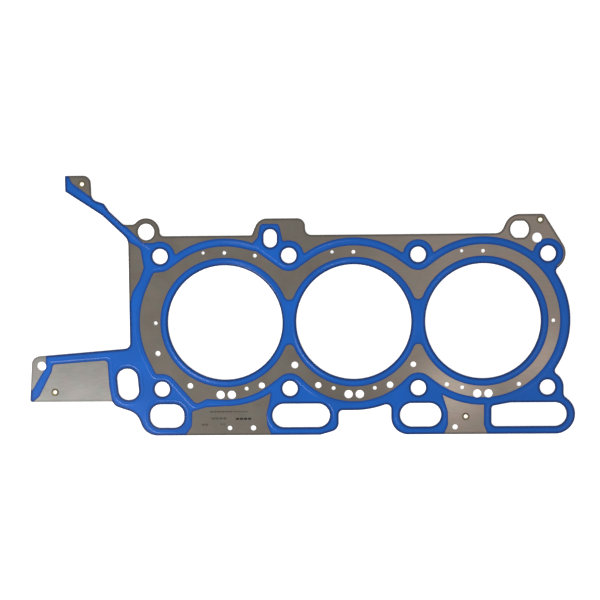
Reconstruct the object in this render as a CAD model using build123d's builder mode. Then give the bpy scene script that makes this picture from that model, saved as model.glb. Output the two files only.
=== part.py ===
from build123d import *
from math import asin, atan2, copysign, cos, dist, hypot, pi, radians, sin, sqrt
import os

# Multi-layer steel cylinder head gasket for one three-cylinder bank of a V6 engine.
# Two thin embossed sheets clamp a plain carrier sheet, stopper rings thicken the stack
# round the bores, four eyelets join the sheets, and a printed elastomer coating seals both
# outer faces. The origin is on the middle bore's axis, at the lowest plane of the gasket.
# +X runs along the bores, +Y to the intake side and +Z to the cylinder head.

os.makedirs("parts", exist_ok=True)

# ---- Driving dimensions, in millimetres -------------------------------------------------

# Bores and bolts
BORE_D = 94.6
BORE_WEB = 11.4  # between two bores
BOLT_ROW = 55.0  # from the bore line to either row of bolts
BOLT_HOLE_D = 12.6

# Sheets and coating
SHEET_T = 0.25
CARRIER_T = 0.45
STOPPER_T = 0.10
STOPPER_W = 1.0
COAT_T = 0.05

# Beads
BORE_BEAD_LAND = 2.3  # from a bore's edge to the crest of its full bead
BORE_BEAD_W = 3.0
BORE_BEAD_CREST_W = 0.9
BORE_BEAD_H = 0.22
LINE_BEAD_W = 2.0  # raised bead of the coating, along its sealing lines
LINE_BEAD_H = 0.19
LINE_BEAD_GAP = 2.6  # from a field's or a slot's edge to its bead
LINE_BEND_R = 4.0

# Eyelets
EYELET_BORE_D = 3.0
EYELET_BARREL_D = 4.0
EYELET_FLANGE_D = 6.2
EYELET_FLANGE_T = 0.30
EYELET_RIM = 0.1  # chamfer of the flanges
EYELET_CLEARANCE = 0.05  # round the barrel
EDGE_EYELET_X = 38.9  # of the eyelet in the lower edge, from the bolt above it
EDGE_EYELET_DROP = 24.0

# Printed coating
BORE_BAND_W = 6.3
BOLT_RING_W = 6.5
WEB_FILLET = 4.0  # where the bands of two bores run together
TOP_FIELD_GAP = 0.8  # from the arcs of the bare coolant field to the rings of the bolts
END_FIELD_GAP = 0.6
MID_FIELD_GAP = 0.3
MID_FIELD_DROP = 8.4  # from a bore's axis down to the centre of the field's arc
LOW_FIELD_GAP = 0.75
LOW_FIELD_DROP = 4.0
LEFT_FIELD_INSET = 5.8  # from the radius of the bolts to the field's left-hand arc
BAND_INSET = 7.0  # and to the outer edge of the coating round the field
RING_STEP = 0.4  # by which the rings of the upper bolts are narrower outside the field
TIP_FILLET = 1.2  # between these rings and the band
FLAP_FIELD_L = 44.2  # bare field of the flap, to the right of its eyelet
FLAP_FIELD_BOW = 40.0

# Openings
LOCATING_EAR_D = 13.6  # in the first ear
EAR_SLOT_L = 14.9
EAR_SLOT_W = 10.9
DOWEL_D = 15.3
DOWEL_FLATS = 13.8  # across the flats of the dowel's hole
OVAL_L = 26.2
OVAL_W = 17.1
OVAL_CORNER = 8.2
OVAL_TILT = 5.0  # degrees
SLOT_DROP = 22.5  # from the lower bolts down to the row of slots
SLOT_H = 19.7
SLOT_1_L = 28.4
SLOT_1_CORNER = 8.8
SLOT_2_L = 47.6
SLOT_3_L = 34.0
SLOT_4_L = 61.75
SLOT_4_TAPER_L = 15.4
SLOT_4_TAPER_H = 2.8

# Coolant holes
COOLANT_LAND = 12.9  # from a bore's edge out to its main row of holes
PINHOLE_LAND = 10.2  # and to its row of pinholes
PAIR_D = 7.0  # two below each bore
PAIR_ANGLE = 4.4  # degrees, from the line straight down
METER_ANGLE = 29.5  # metering holes, either side of a bore's pair
METER_D = 5.2
METER_LEFT_D = 4.8  # at the left-hand end of the bank
METER_MID_D = 5.5
METER_RIGHT_D = 3.6
VENT_ANGLE = 17.2  # vents, between the pair and the metering holes
VENT_D = 3.3
WEB_HOLE_X = 4.15  # in the webs, above the lower bolts
WEB_HOLE_Y = 19.5
WEB_HOLE_LEFT_D = 5.7
WEB_HOLE_RIGHT_D = 4.7
PINHOLE_D = 3.1
BLEED_ANGLE = 16.9
BLEED_D = 2.6
RELIEF_LAND = 14.2
RELIEF_ANGLE = 24.2
RELIEF_D = 4.3  # left of the left-hand bore

# Other holes
DRAIN_D = 8.0  # beside the dowel
FLAP_HOLE_D = 7.6
LOCATING_D = 4.5  # holes for pins, between the slots
LOCATING_LEFT_D = 3.9
LOCATING_X = 39.7  # left of the second slot, and of the third
LOCATING_LEFT_X = 59.2
LOCATING_DROP = 10.3

# Outline
EAR_1_R = 11.2
EAR_2_H = 16.2
EAR_3_R = 12.4
END_EAR_R = 14.1  # round the end bolts
END_LOBE_R = 13.2
TOP_EDGE = 16.7  # above the upper bolts
END_INSET = 5.0  # from the radius of the bolts to the edge round the right-hand bore
BAY_INSET = 3.1  # and to the edge of the bay, under the middle bore
INNER_FILLET = 3.4
LEFT_EDGE = 26.0  # left of the end bolts
SLOT_RIM = 6.35
BAY_RIM = 7.2  # beside the slots that face the bay
ARM_X = 63.2  # from the left-hand bolts to the arm's eyelet
ARM_Y = 59.8
ARM_TIP = 13.9  # from there to its tip
ARM_HALF_W = 7.0
FLAP_X = 100.1  # from the left-hand bolts to the hole in the flap's corner
FLAP_Y = 19.8
FLAP_EYELET_X = 89.3

# ---- Places worked out from them --------------------------------------------------------

BORE_R = BORE_D / 2
BORE_PITCH = BORE_D + BORE_WEB
BORE_BEAD_R = BORE_R + BORE_BEAD_LAND
BORE_BAND_R = BORE_R + BORE_BAND_W
PINHOLE_R = BORE_R + PINHOLE_LAND
COOLANT_R = BORE_R + COOLANT_LAND

BORE_1 = (-BORE_PITCH, 0)
BORE_2 = (0, 0)
BORE_3 = (BORE_PITCH, 0)
BORES = (BORE_1, BORE_2, BORE_3)
BOLT_COLUMNS = [BORE_PITCH * k for k in (-1.5, -0.5, 0.5, 1.5)]
TOP_1, TOP_2, TOP_3, TOP_4 = [(x, BOLT_ROW) for x in BOLT_COLUMNS]
LOW_1, LOW_2, LOW_3, LOW_4 = [(x, -BOLT_ROW) for x in BOLT_COLUMNS]
BOLTS = (TOP_1, TOP_2, TOP_3, TOP_4, LOW_1, LOW_2, LOW_3, LOW_4)

TOP_Y = BOLT_ROW + TOP_EDGE
LEFT_X = TOP_1[0] - LEFT_EDGE
SLOT_ROW = -BOLT_ROW - SLOT_DROP
SLOT_REACH = SLOT_H / 2 + SLOT_RIM
LOW_Y = SLOT_ROW - SLOT_REACH
SLOT_TOP = SLOT_ROW + SLOT_H / 2


def beside(anchor, dx, dy):
    """The point at an offset from an anchor."""
    return (anchor[0] + dx, anchor[1] + dy)


def around(bore, r, degrees):
    """The point on a circle about a bore, turned anticlockwise from straight down."""
    return beside(bore, r * sin(radians(degrees)), -r * cos(radians(degrees)))


# Radii about the bores that the bolts beside them set
BOLT_REACH = dist(BORE_2, TOP_2)
BOLT_BAND_R = BOLT_HOLE_D / 2 + BOLT_RING_W
MID_FIELD_CENTRE = beside(BORE_2, 0, -MID_FIELD_DROP)
LOW_FIELD_CENTRE = beside(BORE_1, 0, -LOW_FIELD_DROP)
TOP_FIELD_R = BOLT_REACH - BOLT_BAND_R - TOP_FIELD_GAP
END_FIELD_R = BOLT_REACH - BOLT_BAND_R - END_FIELD_GAP
MID_FIELD_R = dist(MID_FIELD_CENTRE, LOW_2) - BOLT_BAND_R - MID_FIELD_GAP
LOW_FIELD_R = dist(LOW_FIELD_CENTRE, LOW_2) - BOLT_BAND_R - LOW_FIELD_GAP
LEFT_FIELD_R = BOLT_REACH - LEFT_FIELD_INSET
BAND_R = BOLT_REACH - BAND_INSET
END_R = BOLT_REACH - END_INSET
BAY_R = BOLT_REACH - BAY_INSET

EAR_1 = beside(TOP_1, -11.2, 20.3)  # with a round locating hole
EAR_2 = beside(TOP_2, -15.15, 14.2)  # with a drain slot
EAR_3 = beside(TOP_4, -23.3, 19.8)  # with the dowel's hole
ARM_EYELET = beside(TOP_1, -ARM_X, ARM_Y)
FLAP_EYELET = beside(LOW_1, -FLAP_EYELET_X, -2.0)
EYELETS = {
    "eyelet_arm": ARM_EYELET,
    "eyelet_ear": beside(TOP_4, -6.7, 27.5),
    "eyelet_flap": FLAP_EYELET,
    "eyelet_edge": beside(LOW_3, EDGE_EYELET_X, -EDGE_EYELET_DROP),
}
FLAP_HOLE = beside(LOW_1, -FLAP_X, FLAP_Y)
OVAL = beside(LOW_1, -28.4, 4.2)
SLOT_1 = (LOW_1[0] + 3.8, SLOT_ROW)
SLOT_2 = (LOW_2[0] + 9.0, SLOT_ROW)
SLOT_3 = (LOW_3[0] + 1.8, SLOT_ROW)
SLOT_4_END = (LOW_4[0] + 6.0, SLOT_ROW)
SLOT_4_LEFT = SLOT_4_END[0] + SLOT_H / 2 - SLOT_4_L
BAY_LEFT = SLOT_2[0] + SLOT_2_L / 2 + BAY_RIM
BAY_RIGHT = SLOT_3[0] - SLOT_3_L / 2 - BAY_RIM

# Sealing lines that run out along the flap and the arm
FLAP_LINE = (
    beside(FLAP_HOLE, 7.1, 3.9),
    beside(OVAL, -13.7, 23.4),
    beside(OVAL, -12.6, 3.0),
)
ARM_LINE = (
    beside(TOP_1, -8.0, 5.5),
    beside(TOP_1, -28.0, 20.5),
    beside(ARM_EYELET, 20.2, -22.3),
    beside(ARM_EYELET, -8.3, -2.8),
)

# Heights
LOW_SHEET_Z = EYELET_FLANGE_T
CARRIER_Z = LOW_SHEET_Z + SHEET_T
STOPPER_Z = CARRIER_Z + CARRIER_T
TOP_SHEET_Z = STOPPER_Z + STOPPER_T
TOP_COAT_Z = TOP_SHEET_Z + SHEET_T
MIDDLE_Z = (TOP_COAT_Z + LOW_SHEET_Z) / 2


# ---- Closed lines: a belt drawn clockwise round pins and discs ---------------------------


TOUCH = 1e-6  # points closer than this are one


def pin(point, dx=0.0, dy=0.0, r=0.0):
    """A corner at an offset from a point, rounded by r."""
    return (point[0] + dx, point[1] + dy, 0.0, r)


def disc(centre, r):
    """A disc that the belt goes round, on the disc's outer side."""
    return (centre[0], centre[1], r, r)


def hollow(centre, r):
    """A disc that the belt bends in round, so that it stays outside the shape."""
    return (centre[0], centre[1], -r, r)


def notch(first, second, r):
    """A fillet of radius r between two discs that the belt goes round, in the order given."""
    (x1, y1, r1, _), (x2, y2, r2, _) = first, second
    span = hypot(x2 - x1, y2 - y1)
    to_first = r1 + r + TOUCH
    to_second = r2 + r + TOUCH
    along = (span**2 + to_first**2 - to_second**2) / (2 * span)
    aside = sqrt(to_first**2 - along**2)
    ux, uy = (x2 - x1) / span, (y2 - y1) / span
    return hollow((x1 + along * ux - aside * uy, y1 + along * uy + aside * ux), r)


def bends(stops):
    """Each stop's bend: its centre, its radius, and the belt's headings in, midway and out.

    A bend to the right has a positive radius, and one to the left a negative one."""
    headings = []
    for (x1, y1, r1, _), (x2, y2, r2, _) in zip(stops, stops[1:] + stops[:1]):
        lean = asin((r2 - r1) / hypot(x2 - x1, y2 - y1))
        headings.append(atan2(y2 - y1, x2 - x1) + lean)
    found = []
    for (x, y, r, rounding), before, after in zip(stops, headings[-1:] + headings, headings):
        if r == 0:
            turn = (before - after + pi) % (2 * pi) - pi
            r = copysign(rounding, turn)
            reach = r / cos(turn / 2)
            x += reach * sin(before - turn / 2)
            y -= reach * cos(before - turn / 2)
        else:
            turn = copysign((copysign(1, r) * (before - after)) % (2 * pi), r)
        found.append(((x, y), r, (before, before - turn / 2, before - turn)))
    return found


def belt(*stops, mode=Mode.ADD):
    """Fill the belt's line in the current sketch."""
    arcs = []
    for (x, y), r, headings in bends(list(stops)):
        arcs.append([(x - r * sin(h), y + r * cos(h)) for h in headings])
    with BuildLine() as line:
        for (start, middle, end), (onward, _, _) in zip(arcs, arcs[1:] + arcs[:1]):
            if dist(start, end) > TOUCH:
                ThreePointArc(start, middle, end)
            if dist(end, onward) > TOUCH:
                Line(end, onward)
    make_face(line.edges(), mode=mode)


# ---- Outline ----------------------------------------------------------------------------

with BuildSketch() as blank:
    belt(
        # timing cover arm, then down its upper edge
        pin(ARM_EYELET, -ARM_TIP, ARM_HALF_W, r=0.8),
        pin(ARM_EYELET, ARM_HALF_W, ARM_HALF_W, r=6.3),
        pin(ARM_EYELET, 7.5, -12.6, r=6.0),
        pin(ARM_EYELET, 17.6, -16.0, r=3.0),
        pin(ARM_EYELET, 21.9, -22.4, r=4.0),
        # the three ears of the upper edge
        pin(EAR_1, -18.5, 6.0, r=5.0),
        pin(EAR_1, 1.5 - EAR_1_R, 6.0, r=4.5),
        disc(EAR_1, EAR_1_R),
        pin((EAR_1[0] + EAR_1_R, TOP_Y), r=3.4),
        pin((EAR_2[0] - 15.15, TOP_Y), r=1.5),
        pin(EAR_2, -9.35, EAR_2_H, r=10.0),
        pin(EAR_2, 28.45, EAR_2_H, r=6.3),
        pin((EAR_2[0] + 28.95, TOP_Y), r=5.0),
        pin((EAR_3[0] - EAR_3_R - 2.7, TOP_Y), r=7.0),
        disc(EAR_3, EAR_3_R),
        pin(EAR_3, 19.8, EAR_3_R, r=3.0),
        # right-hand end, round the end bolts and the bore
        disc(TOP_4, END_EAR_R),
        notch(disc(TOP_4, END_EAR_R), disc(BORE_3, END_R), INNER_FILLET),
        disc(BORE_3, END_R),
        notch(disc(BORE_3, END_R), disc(LOW_4, END_LOBE_R), INNER_FILLET),
        disc(LOW_4, END_LOBE_R),
        pin((LOW_4[0] + END_LOBE_R, SLOT_ROW + SLOT_REACH - 0.8), r=4.0),
        # lower edge, with the bay under the middle bore
        disc(beside(SLOT_4_END, 0.5, 0), SLOT_REACH),
        pin((BAY_RIGHT, LOW_Y), r=14.0),
        pin((BAY_RIGHT, -sqrt(BAY_R**2 - BAY_RIGHT**2) - 0.3), r=4.2),
        disc(BORE_2, BAY_R),
        pin((BAY_LEFT, -BAY_R), r=3.6),
        pin((BAY_LEFT, LOW_Y + 4.4), r=7.5),
        pin((BAY_LEFT - 15.0, LOW_Y), r=8.0),
        pin((SLOT_1[0] - 18.1, LOW_Y), r=14.0),
        pin((SLOT_1[0] - 25.0, LOW_Y + SLOT_REACH + 2.5), r=14.0),
        # flap
        pin(OVAL, -10.8, -18.1, r=8.0),
        pin(OVAL, -13.4, -14.2, r=0.5),
        pin(FLAP_HOLE, -10.1, -29.8, r=1.5),
        pin(FLAP_HOLE, -7.7, 7.8, r=6.8),
        pin((LEFT_X, FLAP_HOLE[1] + 14.4), r=5.0),
        # left-hand edge, and back up the arm's lower edge
        pin((LEFT_X, TOP_Y - 2.5), r=10.0),
        pin(ARM_EYELET, 16.4, -25.8, r=10.0),
        pin(ARM_EYELET, -ARM_TIP, -5.8, r=0.8),
    )

# ---- Holes ------------------------------------------------------------------------------

# Slots of the lower edge; the last one narrows at its left-hand end.
with BuildSketch() as slots:
    with Locations(SLOT_1):
        RectangleRounded(SLOT_1_L, SLOT_H, SLOT_1_CORNER)
    with Locations(SLOT_2):
        SlotOverall(SLOT_2_L, SLOT_H)
    with Locations(SLOT_3):
        SlotOverall(SLOT_3_L, SLOT_H)
    belt(
        disc(SLOT_4_END, SLOT_H / 2),
        pin((SLOT_4_LEFT, SLOT_ROW - SLOT_H / 2), r=4.0),
        pin((SLOT_4_LEFT, SLOT_TOP - SLOT_4_TAPER_H), r=2.5),
        pin((SLOT_4_LEFT + SLOT_4_TAPER_L, SLOT_TOP), r=8.0),
    )

with BuildSketch() as oval:
    with Locations(Location(OVAL, OVAL_TILT)):
        RectangleRounded(OVAL_W, OVAL_L, OVAL_CORNER)

with BuildSketch() as ear_slot:
    with Locations(EAR_2):
        SlotOverall(EAR_SLOT_L, EAR_SLOT_W, rotation=90)

# The dowel hole has two flats.
with BuildSketch() as dowel_hole:
    with Locations(EAR_3):
        Circle(DOWEL_D / 2)
        Rectangle(DOWEL_D, DOWEL_FLATS, mode=Mode.INTERSECT)

SIDES = (-1, 1)

# Round holes besides the bores and the bolts, each with its places.
ROUND_HOLES = [
    (LOCATING_EAR_D, [EAR_1]),
    (DRAIN_D, [beside(EAR_3, 14.2, -6.9)]),
    (FLAP_HOLE_D, [FLAP_HOLE]),
    (PAIR_D, [around(bore, COOLANT_R, side * PAIR_ANGLE) for bore in BORES for side in SIDES]),
    (METER_LEFT_D, [around(BORE_1, COOLANT_R, -METER_ANGLE)]),
    (METER_D, [around(BORE_1, COOLANT_R, METER_ANGLE), around(BORE_2, COOLANT_R, -METER_ANGLE)]),
    (METER_MID_D, [around(BORE_2, COOLANT_R, METER_ANGLE)]),
    (METER_RIGHT_D, [around(BORE_3, COOLANT_R, side * METER_ANGLE) for side in SIDES]),
    (VENT_D, [around(BORE_2, PINHOLE_R, side * VENT_ANGLE) for side in SIDES]),
    (VENT_D, [around(BORE_1, PINHOLE_R, VENT_ANGLE), around(BORE_3, PINHOLE_R, -VENT_ANGLE)]),
    (WEB_HOLE_LEFT_D, [beside(LOW_2, WEB_HOLE_X, WEB_HOLE_Y)]),
    (WEB_HOLE_RIGHT_D, [beside(LOW_3, -WEB_HOLE_X, WEB_HOLE_Y)]),
    (PINHOLE_D, [around(bore, PINHOLE_R, 180) for bore in BORES]),
    (PINHOLE_D, [around(BORE_1, PINHOLE_R, -90), around(BORE_3, PINHOLE_R, 90)]),
    (PINHOLE_D, [beside(TOP_2, -27.9, 0.0)]),
    (BLEED_D, [around(bore, COOLANT_R, BLEED_ANGLE - 180) for bore in BORES]),
    (RELIEF_D, [around(BORE_1, BORE_R + RELIEF_LAND, RELIEF_ANGLE - 90)]),
    (LOCATING_D, [beside(SLOT_2, -LOCATING_X, -LOCATING_DROP)]),
    (LOCATING_D, [beside(SLOT_3, 28.4, -LOCATING_DROP)]),
    (LOCATING_LEFT_D, [beside(SLOT_2, -LOCATING_LEFT_X, -LOCATING_DROP)]),
]

with BuildSketch() as openings:
    with Locations(*BORES):
        Circle(BORE_D / 2)
    with Locations(*BOLTS):
        Circle(BOLT_HOLE_D / 2)
    for diameter, places in ROUND_HOLES:
        with Locations(*places):
            Circle(diameter / 2)
    for shape in (slots, oval, ear_slot, dowel_hole):
        add(shape.sketch)

with BuildSketch() as punched:
    add(blank.sketch)
    add(openings.sketch, mode=Mode.SUBTRACT)
    with Locations(*EYELETS.values()):
        Circle(EYELET_BARREL_D / 2 + EYELET_CLEARANCE, mode=Mode.SUBTRACT)

# ---- Printed coating --------------------------------------------------------------------

# The coolant field is bare: it runs round all three bores, inside the bolts.
with BuildSketch() as coolant_field:
    belt(
        disc(BORE_1, TOP_FIELD_R),
        pin(around(BORE_1, TOP_FIELD_R + 1.3, 155.6), r=2.0),
        hollow(TOP_2, BOLT_BAND_R),
        disc(BORE_2, TOP_FIELD_R),
        hollow(TOP_3, BOLT_BAND_R),
        disc(BORE_3, END_FIELD_R),
        hollow(LOW_3, BOLT_BAND_R),
        disc(MID_FIELD_CENTRE, MID_FIELD_R),
        hollow(LOW_2, BOLT_BAND_R),
        disc(LOW_FIELD_CENTRE, LOW_FIELD_R),
        pin((LOW_1[0] + 37.0, LOW_FIELD_CENTRE[1] - LOW_FIELD_R + 0.8), r=3.0),
        pin(LOW_1, 28.0, -12.6, r=4.0),
        hollow(LOW_1, BOLT_BAND_R),
        pin(LOW_1, -5.0, 13.0, r=1.5),
        disc(BORE_1, LEFT_FIELD_R),
        pin(TOP_1, -5.5, -13.5, r=2.0),
        hollow(TOP_1, BOLT_BAND_R),
    )

# One continuous band follows the bores.
with BuildSketch() as bore_bands:
    with Locations(*BORES):
        Circle(BORE_BAND_R)
    webs = bore_bands.vertices().filter_by(lambda v: abs(abs(v.X) - BORE_PITCH / 2) < TOUCH)
    fillet(webs, WEB_FILLET)
    add(openings.sketch, mode=Mode.SUBTRACT)

# What stays coated above the coolant field: rings round bolts and slot, and the arm.
with BuildSketch() as upper_bands:
    with Locations(*BORES):
        Circle(BAND_R)
    with Locations(TOP_1, TOP_2, TOP_3, TOP_4):
        Circle(BOLT_BAND_R - RING_STEP)
    tips = upper_bands.vertices().filter_by(lambda v: v.Y > BOLT_ROW + TOUCH)
    fillet(tips, TIP_FILLET)
    belt(
        pin(EAR_2, -14.5, -3.5, r=1.0),
        pin(EAR_2, -10.2, 1.0, r=2.5),
        pin(EAR_2, -8.2, 11.9, r=3.5),
        pin(EAR_2, 7.3, 11.9, r=3.5),
        pin(EAR_2, 10.3, -2.0, r=2.0),
        pin(EAR_2, 14.0, -3.0, r=1.0),
        pin(EAR_2, 14.0, -14.0, r=1.0),
        pin(EAR_2, -14.5, -14.0, r=1.0),
    )
    belt(
        pin(EAR_1, -20.0, 6.5),
        pin(EAR_1, -15.6, 4.2, r=3.0),
        pin(EAR_1, -2.5, -9.0, r=4.0),
        pin(EAR_1, 8.0, -9.0, r=1.0),
        pin(EAR_1, 8.0, -20.0, r=1.0),
        pin(EAR_1, -3.0, -23.0, r=4.0),
        pin(EAR_1, -3.6, -16.0, r=4.0),
        pin(EAR_1, -11.0, -10.2, r=6.0),
        pin(EAR_1, -18.0, -7.5),
        pin(EAR_1, -26.0, 0.0),
    )

# Bare fields of the edges, drawn past the outline where they run out over it.
with BuildSketch() as edge_fields:
    belt(
        pin((EAR_1[0] - 18.9, TOP_Y + 9.0)),
        pin((EAR_1[0] - 18.9, TOP_Y + 20.0)),
        pin((TOP_4[0] + 20.0, TOP_Y + 20.0)),
        pin(TOP_4, 20.0, -10.5),
        pin(TOP_4, -10.0, -10.5),
        pin(TOP_1, 0.0, -5.0),
    )
    add(upper_bands.sketch, mode=Mode.SUBTRACT)
    # left-hand edge
    belt(
        pin((LEFT_X - 5.0, BOLT_ROW + 13.5)),
        pin((LEFT_X, BOLT_ROW + 12.2)),
        pin(TOP_1, -16.2, 7.0, r=6.0),
        pin(TOP_1, -14.4, -4.5, r=6.0),
        pin(TOP_1, -13.6, -9.0, r=3.0),
        pin(TOP_1, -17.5, -19.5, r=8.0),
        pin((LEFT_X + 2.6, 26.0), r=6.0),
        pin((LEFT_X, 15.5)),
        pin((LEFT_X - 5.0, 12.0)),
    )
    # tip of the arm
    belt(
        pin(ARM_EYELET, -11.5, 8.5),
        pin(ARM_EYELET, -8.5, 1.3, r=5.0),
        pin(ARM_EYELET, 7.3, -10.6),
        pin(ARM_EYELET, 14.0, -6.0),
        pin(ARM_EYELET, 10.0, 12.0),
    )
    # corner and middle of the flap
    belt(
        pin(FLAP_HOLE, -12.0, 10.0),
        pin(FLAP_HOLE, 3.8, 10.0),
        pin(FLAP_HOLE, 3.6, -0.6, r=1.5),
        pin(FLAP_HOLE, -7.9, -19.4, r=1.5),
        pin(FLAP_HOLE, -12.5, -22.0),
    )
    belt(
        pin(FLAP_EYELET, -1.2, 23.2, r=2.5),
        pin(FLAP_EYELET, FLAP_FIELD_L, 26.4, r=3.0),
        pin(FLAP_EYELET, FLAP_FIELD_L + 1.0, 5.0, r=FLAP_FIELD_BOW),
        pin(FLAP_EYELET, FLAP_FIELD_L + 3.4, -9.0),
        pin(FLAP_EYELET, -23.0, -12.0),
        pin(FLAP_EYELET, -13.0, -3.3, r=4.0),
        pin(FLAP_EYELET, -2.3, 17.5, r=6.0),
    )
    # lower edge, under the left-hand bore
    belt(
        pin(SLOT_1, 21.0, 3.8, r=2.0),
        pin(SLOT_1, 32.5, 7.2, r=6.0),
        pin((BORE_1[0] + 2.8, 0.2 - BAND_R)),
        pin((BORE_1[0] + 4.8, SLOT_ROW + 20.0)),
        pin(SLOT_2, -24.9, 20.0),
        pin(SLOT_2, -26.0, 12.5, r=6.0),
        pin(SLOT_2, -28.8, 2.0, r=10.0),
        pin(SLOT_2, -28.2, -8.0, r=10.0),
        pin(SLOT_2, -23.0, -20.0),
        pin(SLOT_1, 12.5, -20.0),
        pin(SLOT_1, 20.6, -8.5, r=8.0),
    )
    # and under the right-hand bore
    belt(
        pin(SLOT_3, 17.0, 20.0),
        pin((BORE_3[0] + 1.1, SLOT_ROW + 20.0)),
        pin((BORE_3[0] + 0.8, SLOT_ROW - 8.5), r=6.0),
        pin((BORE_3[0] + 5.5, LOW_Y - 4.0)),
        pin(SLOT_3, 17.5, -20.0),
        pin(SLOT_3, 22.6, -8.5, r=8.0),
        pin(SLOT_3, 22.4, 3.0, r=8.0),
    )

    # the coating's ring is whole, outside the bolts as well
    with Locations(BORE_1, BORE_3):
        Circle(BAND_R, mode=Mode.SUBTRACT)

with BuildSketch() as perimeter_band:
    add(blank.sketch)
    add(coolant_field.sketch, mode=Mode.SUBTRACT)
    add(edge_fields.sketch, mode=Mode.SUBTRACT)
    add(openings.sketch, mode=Mode.SUBTRACT)

# ---- Beads ------------------------------------------------------------------------------

# Sealing lines of the coating: round the coolant field and each slot, and along the flap
# and the arm.
with BuildSketch() as line_beads:
    for shape in (coolant_field, slots, oval):
        with BuildSketch(mode=Mode.PRIVATE) as loop:
            offset(shape.sketch, LINE_BEAD_GAP + LINE_BEAD_W, mode=Mode.ADD)
            offset(shape.sketch, LINE_BEAD_GAP, mode=Mode.SUBTRACT)
        add(loop.sketch)
    for path in (FLAP_LINE, ARM_LINE):
        with BuildLine() as line:
            FilletPolyline(*path, radius=LINE_BEND_R)
        trace(line.edges(), line_width=LINE_BEAD_W)
    add(perimeter_band.sketch, mode=Mode.INTERSECT)


def bore_beads(z, mode):
    """Add or cut the full beads round the bores, embossed upwards from a height."""
    foot = BORE_BEAD_W / 2
    crest = BORE_BEAD_CREST_W / 2
    for x, _ in BORES:
        with BuildSketch(Plane((x, 0, z), x_dir=(1, 0, 0), z_dir=(0, -1, 0))) as section:
            with Locations((BORE_BEAD_R, 0)):
                Polygon(
                    (-foot, 0),
                    (foot, 0),
                    (crest, BORE_BEAD_H),
                    (-crest, BORE_BEAD_H),
                    align=None,
                )
        revolve(section.sketch, axis=Axis((x, 0, 0), (0, 0, 1)), mode=mode)


# ---- Steel sheets -----------------------------------------------------------------------

with BuildPart() as top_sheet:
    with BuildSketch(Plane.XY.offset(TOP_SHEET_Z)):
        add(punched.sketch)
    extrude(amount=SHEET_T)
    bore_beads(TOP_COAT_Z, Mode.ADD)
    bore_beads(TOP_SHEET_Z, Mode.SUBTRACT)

with BuildPart() as carrier_sheet:
    with BuildSketch(Plane.XY.offset(CARRIER_Z)):
        add(punched.sketch)
    extrude(amount=CARRIER_T)

# The sheets are embossed alike, away from each other.
with BuildPart() as low_sheet:
    mirror(top_sheet.part, about=Plane.XY.offset(MIDDLE_Z))

top_sheet.part.label = "top_sheet"
export_step(top_sheet.part, "parts/top_sheet.step")

carrier_sheet.part.label = "carrier_sheet"
export_step(carrier_sheet.part, "parts/carrier_sheet.step")

low_sheet.part.label = "low_sheet"
export_step(low_sheet.part, "parts/low_sheet.step")

# ---- Stopper rings, between the carrier and the upper sheet -------------------------------

for number, bore in enumerate(BORES, start=1):
    with BuildPart() as stopper:
        with BuildSketch(Plane.XY.offset(STOPPER_Z)):
            with Locations(bore):
                Circle(BORE_D / 2 + STOPPER_W)
                Circle(BORE_D / 2, mode=Mode.SUBTRACT)
        extrude(amount=STOPPER_T)
    stopper.part.label = f"stopper_ring_{number}"
    export_step(stopper.part, f"parts/stopper_ring_{number}.step")

# ---- Coating ----------------------------------------------------------------------------

with BuildPart() as top_perimeter_coat:
    with BuildSketch(Plane.XY.offset(TOP_COAT_Z)):
        add(perimeter_band.sketch)
    extrude(amount=COAT_T)
    with BuildSketch(Plane.XY.offset(TOP_COAT_Z)):
        add(line_beads.sketch)
    extrude(amount=LINE_BEAD_H)

with BuildPart() as top_bore_coat:
    with BuildSketch(Plane.XY.offset(TOP_COAT_Z)):
        add(bore_bands.sketch)
    extrude(amount=COAT_T)
    bore_beads(TOP_COAT_Z + COAT_T, Mode.ADD)
    bore_beads(TOP_COAT_Z, Mode.SUBTRACT)

with BuildPart() as low_perimeter_coat:
    mirror(top_perimeter_coat.part, about=Plane.XY.offset(MIDDLE_Z))

with BuildPart() as low_bore_coat:
    mirror(top_bore_coat.part, about=Plane.XY.offset(MIDDLE_Z))

top_perimeter_coat.part.label = "top_perimeter_coat"
export_step(top_perimeter_coat.part, "parts/top_perimeter_coat.step")

top_bore_coat.part.label = "top_bore_coat"
export_step(top_bore_coat.part, "parts/top_bore_coat.step")

low_perimeter_coat.part.label = "low_perimeter_coat"
export_step(low_perimeter_coat.part, "parts/low_perimeter_coat.step")

low_bore_coat.part.label = "low_bore_coat"
export_step(low_bore_coat.part, "parts/low_bore_coat.step")

# ---- Eyelets ----------------------------------------------------------------------------

EYELET_H = TOP_COAT_Z + EYELET_FLANGE_T

for name, place in EYELETS.items():
    with BuildPart() as eyelet:
        with BuildSketch(Plane((*place, 0), x_dir=(1, 0, 0), z_dir=(0, -1, 0))) as half:
            with Locations((EYELET_BORE_D / 2, 0)):
                Rectangle(
                    (EYELET_BARREL_D - EYELET_BORE_D) / 2,
                    EYELET_H,
                    align=(Align.MIN, Align.MIN),
                )
            with Locations((EYELET_BORE_D / 2, 0), (EYELET_BORE_D / 2, TOP_COAT_Z)):
                Rectangle(
                    (EYELET_FLANGE_D - EYELET_BORE_D) / 2,
                    EYELET_FLANGE_T,
                    align=(Align.MIN, Align.MIN),
                )
            rims = half.vertices().group_by(Axis.X)[-1]
            chamfer(rims, EYELET_RIM)
        revolve(axis=Axis((*place, 0), (0, 0, 1)))
    eyelet.part.label = name
    export_step(eyelet.part, f"parts/{name}.step")
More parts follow.
